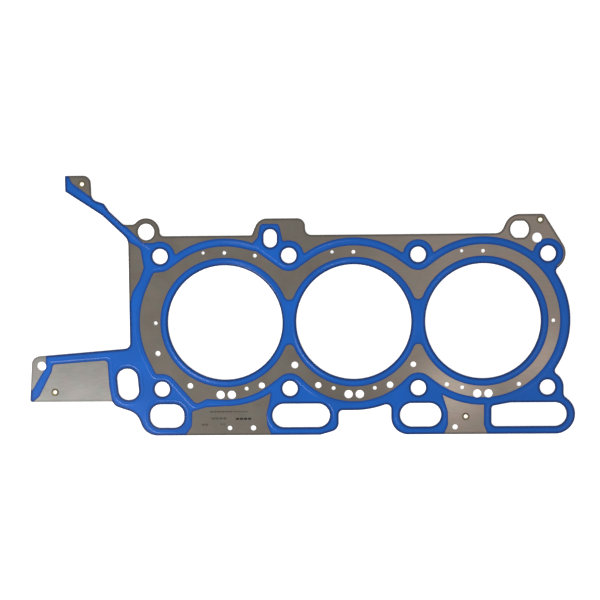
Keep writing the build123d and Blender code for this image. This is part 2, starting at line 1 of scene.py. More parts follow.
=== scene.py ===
# %% [markdown]
# # A multi-layer steel head gasket
# A head gasket seals the joint between an engine's block and its cylinder head. This one is
# a stack of thin steel sheets held together by small rolled eyelets, and both of its faces
# carry a rubbery blue coating, printed in bands round every hole that has to be sealed.
# The measured model, called the frame here, already has each layer's outline and height.
# The lesson reads those outlines, builds a finer mesh of each layer from them, and then
# mixes the finishes: rolled steel, blue elastomer and brass.

# %% Load the measured model
import cmath
import math

import bpy
import numpy as np
from mathutils import Euler, Matrix, Vector, kdtree
from mathutils.geometry import delaunay_2d_cdt


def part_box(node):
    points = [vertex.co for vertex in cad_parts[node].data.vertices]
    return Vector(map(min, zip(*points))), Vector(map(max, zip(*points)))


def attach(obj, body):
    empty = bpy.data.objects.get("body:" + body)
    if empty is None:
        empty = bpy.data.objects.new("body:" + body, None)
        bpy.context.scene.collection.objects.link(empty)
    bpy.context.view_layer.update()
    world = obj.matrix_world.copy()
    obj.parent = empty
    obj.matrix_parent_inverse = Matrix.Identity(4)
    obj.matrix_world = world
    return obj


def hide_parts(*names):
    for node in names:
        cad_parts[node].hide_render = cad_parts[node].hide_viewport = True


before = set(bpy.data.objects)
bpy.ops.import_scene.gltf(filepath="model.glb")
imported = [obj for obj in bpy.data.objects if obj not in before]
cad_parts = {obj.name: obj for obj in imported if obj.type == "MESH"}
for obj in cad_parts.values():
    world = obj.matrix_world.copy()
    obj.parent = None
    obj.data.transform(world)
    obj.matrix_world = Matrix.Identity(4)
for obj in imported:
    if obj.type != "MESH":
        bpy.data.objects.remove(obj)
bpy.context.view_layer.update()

MM = 0.001  # a millimetre in metres, the unit of the frame
print("layers in the frame:", sorted(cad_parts))

# %% [markdown]
# ## Reading an outline
# Each layer is flat, so its shape is the outline of its flat faces at one height. A side
# that only one of those faces has lies on the outline. Following such sides from corner to
# corner gives closed loops that keep the material on their left. Complex numbers are handy
# here: a point is one number, and turning it is a multiplication.

# %% Outlines of a flat layer
HAIR = 0.004  # millimetres; heights closer than this are one
NEARLY_UP = 0.9  # of a normal's length; a face whose normal rises more looks up


def top_of(node):
    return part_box(node)[1].z / MM


def foot_of(node):
    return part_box(node)[0].z / MM


def flat_loops(node, height):
    """Closed outlines of the upward faces of a node at a height, in millimetres."""
    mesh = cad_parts[node].data
    places = [tuple(round(c / MM, 3) for c in v.co) for v in mesh.vertices]
    sides = set()
    for face in mesh.polygons:
        ring = [places[i] for i in face.vertices]
        if face.normal.z > NEARLY_UP and all(abs(z - height) < HAIR for _, _, z in ring):
            flat = [complex(x, y) for x, y, _ in ring]
            sides.update(zip(flat, flat[1:] + flat[:1]))
    onward = {a: b for a, b in sorted(sides, key=str) if (b, a) not in sides}
    loops = []
    while onward:
        start, point = onward.popitem()
        loop = [start]
        while point != start:
            loop.append(point)
            point = onward.pop(point)
        loops.append(loop)
    return loops


sheet_outline = flat_loops("carrier_sheet", top_of("carrier_sheet"))
print("the sheets have", len(sheet_outline), "outlines, the holes included")

# %% [markdown]
# ## Making round things round
# The frame draws each arc with a few straight chords. Its corners lie exactly on the true
# curve, so three corners in a row with equal chords give back the arc's centre. New points
# turned about that centre make the hole as round as the punch that cut it.

# %% The arc that a chord belongs to
IN_LINE = 1e-7  # square millimetres; three points that span less are in line
UNEVEN_SHARE = 0.01  # chords of one arc differ by less than this share of their length
UNEVEN_MM = 0.002  # and the rounding of their corners
LARGEST_TURN = 0.35  # radians; one chord of an arc turns less than this from the next


def circle_centre(a, b, c):
    """The centre of the circle through three points, or None if they are in line."""
    b, c = b - a, c - a
    turn = (b.conjugate() * c - b * c.conjugate()).imag
    if abs(turn) < IN_LINE:
        return None
    return a + 1j * (abs(b) ** 2 * c - abs(c) ** 2 * b) / -turn


def arc_centre(before, start, end, after):
    """The centre of the arc that a chord belongs to, or None for a straight side."""
    play = UNEVEN_SHARE * abs(end - start) + UNEVEN_MM
    centres = []
    for trio in ((before, start, end), (start, end, after)):
        first, second = trio[1] - trio[0], trio[2] - trio[1]
        even = abs(abs(first) - abs(second)) <= play
        if even and abs(cmath.phase(second / first)) < LARGEST_TURN:
            centres.append(circle_centre(*trio))
    centres = [c for c in centres if c is not None]
    return sum(centres) / len(centres) if centres else None


# %% [markdown]
# ## Finer steps
# Each side of an outline is now cut into steps of one length. A straight side gets points
# along it, and a chord of an arc gets points turned about the arc's centre.

# %% Finer outlines
STEP = 0.9  # between points along an outline, in millimetres


def finer(loop, step=STEP):
    """The same outline with points a step apart, along its arcs and straight sides."""
    count = len(loop)
    points = []
    for i in range(count):
        before, start, end, after = (loop[(i + k) % count] for k in (-1, 0, 1, 2))
        centre = arc_centre(before, start, end, after)
        pieces = max(1, math.ceil(abs(end - start) / step))
        parts = np.arange(pieces) / pieces
        if centre is None:
            points.append(start + (end - start) * parts)
        else:
            turn = cmath.phase((end - centre) / (start - centre))
            points.append(centre + (start - centre) * np.exp(1j * turn * parts))
    return np.concatenate(points)


def finer_loops(node, height):
    """The outlines of a layer at a height, with finer steps."""
    return [finer(loop) for loop in flat_loops(node, height)]


sheet_loops = [finer(loop) for loop in sheet_outline]
print("points along the sheets' outlines:", sum(len(loop) for loop in sheet_loops))

# %% [markdown]
# ## Distance to an outline
# Two things depend on how far a point is from an edge: the swell of a sealing line, and the
# thin dark rim that a punched or printed edge shows. A k-d tree of close points along the
# outlines finds the nearest one quickly, and the direction of the outline there tells on
# which side the point is. Where the point lies beside the outline, the distance is measured
# square to it. Measured to the nearest sample it would waver, and so would a highlight.

# %% Distance from outlines
BESIDE = 0.6  # of the spacing between samples


def nearest_in(points):
    """A tree that finds the nearest of some points."""
    tree = kdtree.KDTree(len(points))
    for i, p in enumerate(points):
        tree.insert((p.real, p.imag, 0), i)
    tree.balance()
    return tree


class Edges:
    """Outlines that can be asked for the signed depth of a point, positive inside."""

    def __init__(self, loops, spacing=0.2):
        dense = [finer(list(loop), spacing) for loop in loops]
        ahead = [np.roll(loop, -1) - np.roll(loop, 1) for loop in dense]
        self.spacing = spacing
        self.points = np.concatenate(dense)
        self.left = 1j * np.concatenate([a / abs(a) for a in ahead])
        self.tree = nearest_in(self.points)

    def depth(self, p):
        """How far inside the outlines a point lies, in millimetres."""
        _, i, gap = self.tree.find((p.real, p.imag, 0))
        offset = (p - self.points[i]) * self.left[i].conjugate()
        beside = abs(offset.imag) < BESIDE * self.spacing
        return offset.real if beside else math.copysign(gap, offset.real)


print("depth in the steel at the middle bore's centre:", round(Edges(sheet_loops).depth(0j), 1))

# %% [markdown]
# ## Rows of points along an edge
# A mesh bends only where it has points. Rows that run along an outline, each a little
# further in, let an edge roll over and a bead swell without wasting points elsewhere. Where
# two edges come close, their rows would cross, so points that have come nearer to another
# edge than to their own are left out.

# %% Rows inside an outline
FREE_SHARE = 0.93  # of its row's depth that a point keeps from every edge
FREE_PLAY = 0.01  # millimetres


def inset(loop, depth):
    """The outline moved to its left, into the material."""
    onward = np.roll(loop, -1) - loop
    onward /= abs(onward)
    both = onward + np.roll(onward, 1)
    return loop + 1j * both / abs(both) * depth


def rows_inside(loops, depths, least_gap=0.12):
    """Rows of points that follow the outlines at the given depths."""
    edges = Edges(loops)
    kept = {}
    for depth in depths:
        for loop in loops:
            for p in inset(loop, depth):
                if edges.depth(p) > FREE_SHARE * depth - FREE_PLAY:
                    cell = (round(p.real / least_gap), round(p.imag / least_gap))
                    kept.setdefault(cell, p)
    return np.array(list(kept.values()), dtype=complex)


def clear_of(points, others, gap=0.5):
    """The points that lie more than a gap away from all the others."""
    if not len(others):
        return points
    tree = nearest_in(others)
    far = [p for p in points if tree.find((p.real, p.imag, 0))[2] > gap]
    return np.array(far, dtype=complex)


print("points in a row 1 mm inside the sheets:", len(rows_inside(sheet_loops, (1.0,))))

# %% [markdown]
# ## Heights of the stack
# From the middle outwards the stack is a plain carrier, a thin spring sheet on each side of
# it and the coating on that. The two halves are mirror images about the middle.

# %% Heights, in millimetres
UPPER_Z = foot_of("top_sheet")
STEEL_Z = foot_of("top_perimeter_coat")
COAT_T = 0.05  # thickness of the print beside its raised lines
COAT_Z = STEEL_Z + COAT_T
MIDDLE_Z = (top_of("top_sheet") + foot_of("low_sheet")) / 2
print(f"upper sheet from {UPPER_Z:.2f}, steel face {STEEL_Z:.2f}, coating {COAT_Z:.2f}")

# %% [markdown]
# ## Outlines of the coating
# The wide band of coating seals the water jacket, the bolt holes, the slots, the flap and
# the arm. Its top is the crest of its raised lines, so the outline at that height is the
# foot of the lines. The mirror image below has its flat face upwards, so there the same
# function reads the whole band.

# %% Outlines of the wide band and its lines
band_loops = finer_loops("low_perimeter_coat", top_of("low_perimeter_coat"))
ridge_loops = finer_loops("top_perimeter_coat", top_of("top_perimeter_coat"))
ridges = Edges(ridge_loops)
print("outlines of the wide band:", len(band_loops), "and of its lines:", len(ridge_loops))

# %% [markdown]
# ## Beads
# A bead is a ridge along a sealing line. The full beads round the bores are pressed into the
# steel, and the coating follows them. The finer lines round the water jacket and the slots
# stand up in the coating alone. Both swell smoothly from their feet to their crest, and that
# rounding is what catches the light.

# %% Shape of the beads
BORE_PITCH = 106.0
BORES = [complex(BORE_PITCH * k, 0) for k in (-1, 0, 1)]
BORE_R = 47.3
STOPPER_R = 48.3
BEAD_R = 49.6
BEAD_HALF = 1.5
BEAD_FLANK = 1.3
BEAD_H = top_of("top_bore_coat") - COAT_Z
LINE_FLANK = 0.9
LINE_H = top_of("top_perimeter_coat") - COAT_Z


def flank(inward, width):
    """A soft step from 0 at a bead's foot to 1 at its crest."""
    return math.sin(math.pi / 2 * min(max(inward / width, 0), 1)) ** 2


def bead_swell(p):
    """Height of the full bead at a point."""
    away = min(abs(abs(p - bore) - BEAD_R) for bore in BORES)
    return BEAD_H * flank(BEAD_HALF - away, BEAD_FLANK)


def line_swell(p):
    """Height of the coating's sealing lines at a point."""
    return LINE_H * flank(ridges.depth(p), LINE_FLANK)


print(f"full bead {BEAD_H:.2f} mm high, lines {LINE_H:.2f} mm")

# %% [markdown]
# ## Rows across the beads
# A bead needs about a dozen rows across its width to look round. One more row on each side,
# a little outside its foot, keeps the flat beside it flat.

# %% Points of the beads
GUARD = 0.25  # millimetres from a bead's foot to the row that guards the flat
ROWS_A_SIDE = 6  # between a bead's crest and its foot
LINE_ROWS = (0.2, 0.4, 0.6, 0.8, 1.0)  # millimetres inside a line's foot


def ring(centre, radius, step=STEP):
    """Points round a circle."""
    count = math.ceil(2 * math.pi * radius / step)
    return centre + radius * np.exp(2j * math.pi * np.arange(count) / count)


bead_offsets = [k * BEAD_HALF / ROWS_A_SIDE for k in range(-ROWS_A_SIDE, ROWS_A_SIDE + 1)]
bead_offsets += [BEAD_HALF + GUARD, -BEAD_HALF - GUARD]
bead_rows = np.concatenate([ring(bore, BEAD_R + row) for bore in BORES for row in bead_offsets])
guards = [inset(loop, -GUARD) for loop in ridge_loops]
line_rows = np.concatenate([rows_inside(ridge_loops, LINE_ROWS), *ridge_loops, *guards])
print("points on the full beads:", len(bead_rows), "and on the lines:", len(line_rows))

# %% [markdown]
# ## Filling an outline
# Every layer has an upper and a lower skin. Delaunay triangulation fills an outline with
# well-shaped triangles and passes through any points it is given inside. It fills the holes
# too, so the triangles to keep are found by starting along the outlines' left sides and
# spreading from neighbour to neighbour, never across an outline.

# %% Triangles inside outlines
WELD = 1e-5  # millimetres; points closer than this become one
ENCLOSED = 1  # Blender's number for keeping the triangles that outlines enclose


def skin(loops, rows):
    """Triangles that fill outlines, through every row of points, and the outlines' sides."""
    points = np.concatenate([*loops, rows])
    sides, first = [], 0
    for loop in loops:
        sides += [(first + k, first + (k + 1) % len(loop)) for k in range(len(loop))]
        first += len(loop)
    flat = [Vector((p.real, p.imag)) for p in points]
    spots, _, faces, origins, _, _ = delaunay_2d_cdt(flat, sides, [], ENCLOSED, WELD)
    where = {source: i for i, sources in enumerate(origins) for source in sources}
    sides = [(where[a], where[b]) for a, b in sides]
    owner = {(f[k - 1], f[k]): f for f in map(tuple, faces) for k in range(3)}
    border = {*sides, *((b, a) for a, b in sides)}
    todo = [owner[side] for side in sides]
    inside = set(todo)
    while todo:
        face = todo.pop()
        for k in range(3):
            side = (face[k], face[k - 1])
            beyond = owner.get(side)
            if side not in border and beyond is not None and beyond not in inside:
                inside.add(beyond)
                todo.append(beyond)
    return [complex(*spot) for spot in spots], sorted(inside), sides


stopper_loops = [ring(0, STOPPER_R), ring(0, BORE_R)[::-1]]
print("triangles in a stopper ring:", len(skin(stopper_loops, [])[1]))

# %% [markdown]
# ## Normals that follow the bead
# Blender shades a smooth face by blending the normals of its corners, and it averages those
# from the triangles around each. On a fine bead with uneven triangles that average wavers,
# and the highlight breaks into beads of light. The height of a bead is known everywhere, so
# its slope gives the true normal at each point, and the mesh takes it as a custom normal.

# %% True normals
NUDGE = 0.04  # millimetres to each side, to measure a slope


def lean(height, p):
    """The upward normal of a height function at a point."""
    east = height(p + NUDGE) - height(p - NUDGE)
    north = height(p + 1j * NUDGE) - height(p - 1j * NUDGE)
    return Vector((-east, -north, 2 * NUDGE)).normalized()


def set_normals(mesh, skins, known):
    """Give the first faces their points' known normals; None leaves Blender's own."""
    turned = [corner.vector.copy() for corner in mesh.corner_normals]
    for face in mesh.polygons[:skins]:
        for corner in face.loop_indices:
            normal = known[mesh.loops[corner].vertex_index]
            if normal is not None:
                turned[corner] = normal
    mesh.normals_split_custom_set(turned)


lean_at = bead_swell, BORES[1] + BEAD_R + BEAD_HALF / 2
print("halfway down a bead the normal is", [round(c, 3) for c in lean(*lean_at)])

# %% [markdown]
# ## Cuts that get a painted dark rim
# Along the outer edge and the large holes, the finishes paint a darker rim, as painted shade
# at the edge. The small holes have none, so only the longer outlines count here.

# %% Outlines with a painted dark rim
WIDE_ENOUGH = 32.0  # millimetres round; shorter outlines are small holes


def length_of(loop):
    return sum(abs(np.roll(loop, -1) - loop))


cut_loops = [loop for loop in sheet_loops if length_of(loop) > WIDE_ENOUGH]
cut_edges = Edges(cut_loops)
print("outlines with a dark rim:", len(cut_loops), "of", len(sheet_loops))

# %% [markdown]
# ## Slabs
# A slab is an upper skin, a lower skin and a wall along each outline. A narrow strip along
# the upper edge slopes down, as a punch leaves it. Each point also keeps two numbers for the
# finishes: how far it is from the edge of its own layer, and how far from a cut that gets a
# painted dark rim. The finishes paint shade along the edges by these numbers.

# %% Build a slab
ROLL = 0.05  # how far a punched edge rolls over, in millimetres
ROLL_WIDTH = 0.06
RIM_ROWS = (0.55, 1.1, 1.7, 2.4)  # millimetres inside an edge, where its dark rim fades
CREASE = math.radians(30)


def add_object(name, data):
    """Put a mesh, a lamp or a camera in the scene."""
    made = bpy.data.objects.new(name, data)
    bpy.context.scene.collection.objects.link(made)
    return made


def slab(name, loops, top, foot, top_rows=(), foot_rows=(), rims=RIM_ROWS):
    """A closed layer between two heights, each a function of the place."""
    top_rows, foot_rows = (np.array(rows, dtype=complex) for rows in (top_rows, foot_rows))
    rim = clear_of(rows_inside(loops, rims), top_rows)
    strip = rows_inside(loops, (ROLL_WIDTH,))
    upper, upper_faces, upper_sides = skin(loops, np.concatenate([strip, rim, top_rows]))
    lower, lower_faces, lower_sides = skin(loops, foot_rows)
    edges, count = Edges(loops), len(upper)
    edge = [max(edges.depth(p), 0) for p in upper]
    cut = [max(cut_edges.depth(p), 0) for p in upper]

    def rolled(p, depth):
        thick = top(p) - foot(p) > 2 * ROLL
        return top(p) - ROLL * max(0, 1 - depth / ROLL_WIDTH) * thick

    verts = [(p.real * MM, p.imag * MM, rolled(p, d) * MM) for p, d in zip(upper, edge)]
    verts += [(p.real * MM, p.imag * MM, foot(p) * MM) for p in lower]
    faces = [tuple(f) for f in upper_faces]
    faces += [tuple(count + i for i in reversed(f)) for f in lower_faces]
    pairs = zip(upper_sides, lower_sides)
    walls = [(b, a, count + c, count + d) for (a, b), (c, d) in pairs]
    mesh = bpy.data.meshes.new(name)
    mesh.from_pydata(verts, [], faces + walls)
    mesh.polygons.foreach_set("material_index", [0] * len(faces) + [1] * len(walls))
    for attribute, values in (("edge_mm", edge), ("cut_mm", cut)):
        values = [*values, *[0.0] * len(lower)]
        mesh.attributes.new(attribute, "FLOAT", "POINT").data.foreach_set("value", values)
    mesh.polygons.foreach_set("use_smooth", [True] * len(mesh.polygons))
    mesh.set_sharp_from_angle(angle=CREASE)
    mesh.validate()
    known = [lean(top, p) if d > ROLL_WIDTH / 2 else None for p, d in zip(upper, edge)]
    known += [-lean(foot, p) for p in lower]
    set_normals(mesh, len(faces), known)
    print(f"{name}: {len(verts)} points, {len(mesh.polygons)} faces")
    return add_object(name, mesh)


def level(z):
    """A flat height, the same at every place."""
    return lambda p: z


# %% [markdown]
# ## Shader nodes in a few words
# Every finish is a small graph: a pattern in the object's own coordinates, a colour that
# follows it, and a bump that follows it too. A few helpers keep the graphs short. An input
# given as another node's output is linked, and a plain number or colour is set on the
# socket itself.

# %% Helpers for finishes
def finish(name):
    """A new material with its shader."""
    material = bpy.data.materials.new(name)
    material.use_nodes = True
    return material, material.node_tree.nodes["Principled BSDF"]


def feed(material, target, inputs):
    """Set or link a node's sockets; names have _ for a space, and _2 is number 2."""
    for name, value in inputs.items():
        key = int(name[1:]) if name[1:].isdigit() else name.replace("_", " ")
        socket = target.inputs[key]
        if isinstance(value, bpy.types.NodeSocket):
            material.node_tree.links.new(value, socket)
        else:
            socket.default_value = value


def node(material, kind, settings=None, **inputs):
    """Add a node with its settings and inputs."""
    made = material.node_tree.nodes.new("ShaderNode" + kind)
    for name, value in (settings or {}).items():
        setattr(made, name, value)
    feed(material, made, inputs)
    return made


def connect(material, shader, **inputs):
    """Set or link the shader's sockets."""
    feed(material, shader, inputs)


# %% [markdown]
# ## Patterns, ranges and mixtures
# Noise gives a pattern of any grain, and stretching its coordinates draws the grain out into
# streaks. A map range turns part of the pattern, or a distance, into the numbers that are
# wanted, and a mix blends two colours by such a number.

# %% Helpers for patterns
def on_object(material):
    """The place on the object, in metres."""
    return node(material, "TexCoord").outputs["Object"]


def pattern(material, size_mm, stretch=(1, 1, 1), detail=3.0):
    """Noise whose features are about so many millimetres across."""
    squeeze = [1 / s for s in stretch]
    drawn = node(material, "Mapping", Vector=on_object(material), Scale=squeeze).outputs[0]
    scale = 1 / (size_mm * MM)
    return node(material, "TexNoise", Vector=drawn, Scale=scale, Detail=detail).outputs["Fac"]


def spread(material, value, low, high, start=0.3, end=0.7):
    """Turn a range of a pattern into a range of numbers."""
    limits = {"From_Min": start, "From_Max": end, "To_Min": low, "To_Max": high}
    return node(material, "MapRange", Value=value, **limits).outputs["Result"]


def blend(material, factor, first, second, how="MIX"):
    """Mix two colours by a factor."""
    settings = {"data_type": "RGBA", "blend_type": how}
    return node(material, "Mix", settings, _0=factor, _6=first, _7=second).outputs[2]


def combine(material, operation, first, second, clamp=True):
    """One number from two."""
    settings = {"operation": operation, "use_clamp": clamp}
    return node(material, "Math", settings, _0=first, _1=second).outputs[0]


def near(material, centre_mm, radius_mm, most):
    """A number that is highest at a place and falls softly to 0 at a radius."""
    ends = {"_0": on_object(material), "_1": [c * MM for c in centre_mm]}
    away = node(material, "VectorMath", {"operation": "DISTANCE"}, **ends)
    softly = {"interpolation_type": "SMOOTHSTEP"}
    limits = {"From_Max": radius_mm * MM, "To_Min": most, "To_Max": 0}
    return node(material, "MapRange", softly, Value=away.outputs["Value"], **limits).outputs[0]


def stored(material, attribute):
    """A number that the mesh keeps at each point."""
    return node(material, "Attribute", {"attribute_name": attribute}).outputs["Fac"]


# %% [markdown]
# ## Rolled steel, and its painted reflections and shade
# The sheets are thin stainless spring steel, rolled to a satin finish. It is a metal, so
# most of its colour is its reflection, kept broad by a high roughness. Its tone is also painted
# by zones: the flap lighter, one end warmer and lighter, and two places bright, as painted
# reflection of the room, and a long stretch of one side darker, as painted shade. Each zone is
# a soft mask, made from the place on the object.

# %% Zones of the steel
# Places painted bright, as painted reflection.
GLARE_PLACES = (((82, -56, 0), 43, 0.95), ((152, -30, 0), 45, 0.6))  # centre, radius, how much
# A stretch painted darker, as painted shade.
SHADE_PLACE = ((-8, -82, 0), 66, 0.7)

steel, steel_shader = finish("satin_taupe_steel")
spot = node(steel, "SeparateXYZ", Vector=on_object(steel)).outputs
# Painted reflection: the steel is painted warmer and lighter towards the right end.
lit_end = spread(steel, spot["X"], 0.0, 0.75, -30 * MM, 80 * MM)
# Painted reflection: two places painted brighter.
reflected = combine(steel, "ADD", *(near(steel, *place) for place in GLARE_PLACES))
# Painted shade: a stretch of the lower side painted darker.
dull = near(steel, *SHADE_PLACE)
# Masks for the flap, which is painted lighter as painted reflection.
left_of_body = spread(steel, spot["X"], 1.0, 0.0, -200 * MM, -188 * MM)
below_arm = spread(steel, spot["Y"], 1.0, 0.0, -10 * MM, 10 * MM)
on_flap = combine(steel, "MULTIPLY", left_of_body, below_arm)
down_flap = spread(steel, spot["Y"], 1.0, 0.0, -62 * MM, -25 * MM)
print("zones of the steel: warm end, rubbed places, dull side and flap")

# %% [markdown]
# ## The satin finish
# Over the zones lie three patterns: a soft mottle from handling, a faint change of tint, and
# long fine grain that runs with the rolling and also gives the bump. A darker rim is painted
# along the outer edge and the large holes, as painted shade, weaker on the flap.

# %% Satin steel
STEEL_DARK = (0.093, 0.080, 0.065, 1)
STEEL_LIGHT = (0.125, 0.109, 0.091, 1)
# Painted reflection colours: the lit end, the bright places and the flap.
STEEL_LIT_END = (0.228, 0.186, 0.158, 1)
STEEL_GLARE = (0.374, 0.305, 0.262, 1)
FLAP_REFLECTION_DIM = (0.172, 0.166, 0.156, 1)
FLAP_REFLECTION_BRIGHT = (0.246, 0.237, 0.223, 1)
GREEN_TINT = (0.96, 1.02, 1.0, 1)
RED_TINT = (1.05, 0.985, 0.98, 1)


def darker(colour, share):
    """The same colour with only a share of its light."""
    return [c * share for c in colour[:3]] + [1]


mottle = pattern(steel, 16, detail=4)
tint = spread(steel, pattern(steel, 9, detail=2), 0.0, 1.0)
grain = pattern(steel, 0.5, stretch=(14, 1, 1), detail=2)
tone = blend(steel, spread(steel, mottle, 0, 1), STEEL_DARK, STEEL_LIGHT)
# Painted reflection and painted shade, zone by zone.
tone = blend(steel, lit_end, tone, STEEL_LIT_END)
tone = blend(steel, reflected, tone, STEEL_GLARE)
tone = blend(steel, dull, tone, darker(STEEL_DARK, 0.75))
# Painted reflection: the flap is lighter, more so towards its lower end.
tone = blend(steel, on_flap, tone, blend(steel, down_flap, FLAP_REFLECTION_DIM, FLAP_REFLECTION_BRIGHT))
tone = blend(steel, 1.0, tone, blend(steel, tint, GREEN_TINT, RED_TINT), "MULTIPLY")
tone = blend(steel, spread(steel, grain, 0.0, 0.2), tone, darker(STEEL_DARK, 0.7))
# Painted shade: a dark rim along the outer edge and the large holes.
rim = spread(steel, stored(steel, "cut_mm"), 0.85, 0, 0.4, 2.1)
rim = combine(steel, "MULTIPLY", rim, spread(steel, on_flap, 1.0, 0.4, 0, 1))
tone = blend(steel, rim, tone, darker(STEEL_DARK, 0.35))
bump = node(steel, "Bump", Strength=0.35, Distance=0.01 * MM, Height=grain)
rough = spread(steel, mottle, 0.5, 0.6)
connect(steel, steel_shader, Base_Color=tone, Metallic=0.6, Roughness=rough, Normal=bump.outputs[0])
print("made", steel.name)

# %% [markdown]
# ## Cut steel
# The wall that a punch leaves is sheared rather than rolled, with fine upright marks, and it
# looks out at the dark gap below the part. It is painted nearly black, as painted shade, and
# the carrier and the stopper rings, of which only such walls show, wear it too.

# %% Cut steel
# Painted shade: the walls are nearly black.
WALL_SHADE_DARK = (0.030, 0.028, 0.026, 1)
WALL_SHADE_LIGHT = (0.052, 0.049, 0.045, 1)

cut_steel, cut_shader = finish("cut_steel_edge")
shear = pattern(cut_steel, 0.4, stretch=(1, 1, 4), detail=2)
tone = blend(cut_steel, spread(cut_steel, shear, 0, 1), WALL_SHADE_DARK, WALL_SHADE_LIGHT)
rough = spread(cut_steel, shear, 0.5, 0.6)
connect(cut_steel, cut_shader, Base_Color=tone, Metallic=0.6, Roughness=rough)
print("made", cut_steel.name)

# %% [markdown]
# ## Blue elastomer
# The coating is screen-printed silicone rubber: a strong blue, slightly glossy, with a very
# fine orange-peel skin. Towards one end the blue is painted deeper, as painted shade where
# less lamplight falls. A navy line is painted along the edge of each band and at the cuts,
# as painted shade at the edges.

# %% Blue elastomer
BLUE = (0.0015, 0.100, 0.465, 1)
DEEP_BLUE = (0.0015, 0.082, 0.375, 1)
SHADED_BLUE = (0.0015, 0.067, 0.31, 1)
NAVY = (0.0005, 0.024, 0.13, 1)

rubber, rubber_shader = finish("printed_blue_elastomer")
cloud = spread(rubber, pattern(rubber, 30, detail=3), 0, 1)
peel = pattern(rubber, 0.7, detail=2)
along = node(rubber, "SeparateXYZ", Vector=on_object(rubber)).outputs["X"]
# Painted shade: a navy rim along the bands' edges and the cuts.
band_edge_shade = spread(rubber, stored(rubber, "edge_mm"), 0.7, 0, 0.2, 2.2)
cut_edge_shade = spread(rubber, stored(rubber, "cut_mm"), 1.0, 0, 0.8, 2.4)
tone = blend(rubber, cloud, DEEP_BLUE, BLUE)
# Painted shade: the blue deepens towards the right end.
tone = blend(rubber, spread(rubber, along, 0, 0.6, -20 * MM, 130 * MM), tone, SHADED_BLUE)
tone = blend(rubber, band_edge_shade, tone, NAVY)
tone = blend(rubber, cut_edge_shade, tone, NAVY)
bump = node(rubber, "Bump", Strength=0.1, Distance=0.02 * MM, Height=peel)
rough = spread(rubber, peel, 0.19, 0.23)
connect(rubber, rubber_shader, Base_Color=tone, Roughness=rough, Normal=bump.outputs[0])
connect(rubber, rubber_shader, Specular_IOR_Level=0.2)
print("made", rubber.name)

# %% [markdown]
# ## Brass
# The eyelets are brass. Their rolled flanges are dark olive, while the lip of the hole is
# painted pale, as a painted highlight that brightens the hole. Both are the same metal, so
# one function makes the two finishes.

# %% Brass
def brass(name, dull, bright, roughness):
    """Brass with blotches of tarnish."""
    material, shader = finish(name)
    tarnish = pattern(material, 1.5, detail=3)
    tone = blend(material, spread(material, tarnish, 0, 1), dull, bright)
    rough = spread(material, tarnish, roughness, roughness - 0.1)
    connect(material, shader, Base_Color=tone, Metallic=1.0, Roughness=rough)
    return material


# The flanges are dark olive; the lip is painted pale, as a painted highlight.
flange_brass = brass("dark_olive_brass", (0.085, 0.070, 0.040, 1), (0.130, 0.108, 0.066, 1), 0.6)
lip_brass = brass("highlight_painted_brass", (0.74, 0.65, 0.43, 1), (0.86, 0.78, 0.57, 1), 0.35)
print("made", flange_brass.name, "and", lip_brass.name)

# %% [markdown]
# ## Layers and their mirror images
# Each layer of the frame is replaced by its finer piece, which rides on the frame's one body
# while the layer itself is hidden. The lower half is the same shape mirrored about the
# middle of the stack, so its mesh is a flipped copy.

# %% Put a piece in the place of a layer
def place(piece, layer, slot, face_finish, wall_finish):
    """Dress a piece and let it stand for a layer of the frame."""
    for material in (face_finish, wall_finish):
        piece.data.materials.append(material)
    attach(piece, "root")
    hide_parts(layer)


def mirrored(piece, name):
    """A copy of a layer on the other side of the stack's middle."""
    mesh = piece.data.copy()
    across = Matrix.Translation((0, 0, 2 * MIDDLE_Z * MM)) @ Matrix.Diagonal((1, 1, -1, 1))
    mesh.transform(across)
    mesh.flip_normals()
    return add_object(name, mesh)


# %% [markdown]
# ## Steel sheets
# The two outer sheets carry the full beads, so their upper and lower skins swell together.
# The carrier between them is plain. Round each bore lies a stopper ring, a thin shim that
# keeps the beads from being crushed flat.

# %% Steel sheets
def sheet_top(p):
    return STEEL_Z + bead_swell(p)


def sheet_foot(p):
    return UPPER_Z + bead_swell(p)


upper = slab("upper_sheet", sheet_loops, sheet_top, sheet_foot, bead_rows, bead_rows)
lower = mirrored(upper, "lower_sheet")
place(upper, "top_sheet", "bare_steel", steel, cut_steel)
place(lower, "low_sheet", "bare_steel", steel, cut_steel)


def plain_slab(name, layer, loops, slot):
    """A flat piece of cut steel between the heights of its layer."""
    piece = slab(name, loops, level(top_of(layer)), level(foot_of(layer)), rims=())
    place(piece, layer, slot, cut_steel, cut_steel)


plain_slab("carrier_plate", "carrier_sheet", sheet_loops, "carrier_steel")
for k, bore in enumerate(BORES, 1):
    circles = [bore + loop for loop in stopper_loops]
    plain_slab(f"stopper_shim_{k}", f"stopper_ring_{k}", circles, "stopper_steel")

# %% [markdown]
# ## Coatings
# The wide band lies on flat steel, and its sealing lines swell from its own top. The narrow
# bands round the bores are as thick everywhere, so both of their skins follow the bead
# below. The frame's faces there also have the feet of the bead as outlines, which run at a
# steady distance from the bore and are left out.

# %% Coatings
FOOT_PLAY = 0.05  # millimetres


def off_the_bead(loop):
    """Whether any of an outline lies outside the full bead."""
    away = (abs(min(abs(p - bore) for bore in BORES) - BEAD_R) for p in loop)
    return any(gap > BEAD_HALF + FOOT_PLAY for gap in away)


def coat_top(p):
    return COAT_Z + bead_swell(p)


def line_top(p):
    return COAT_Z + line_swell(p)


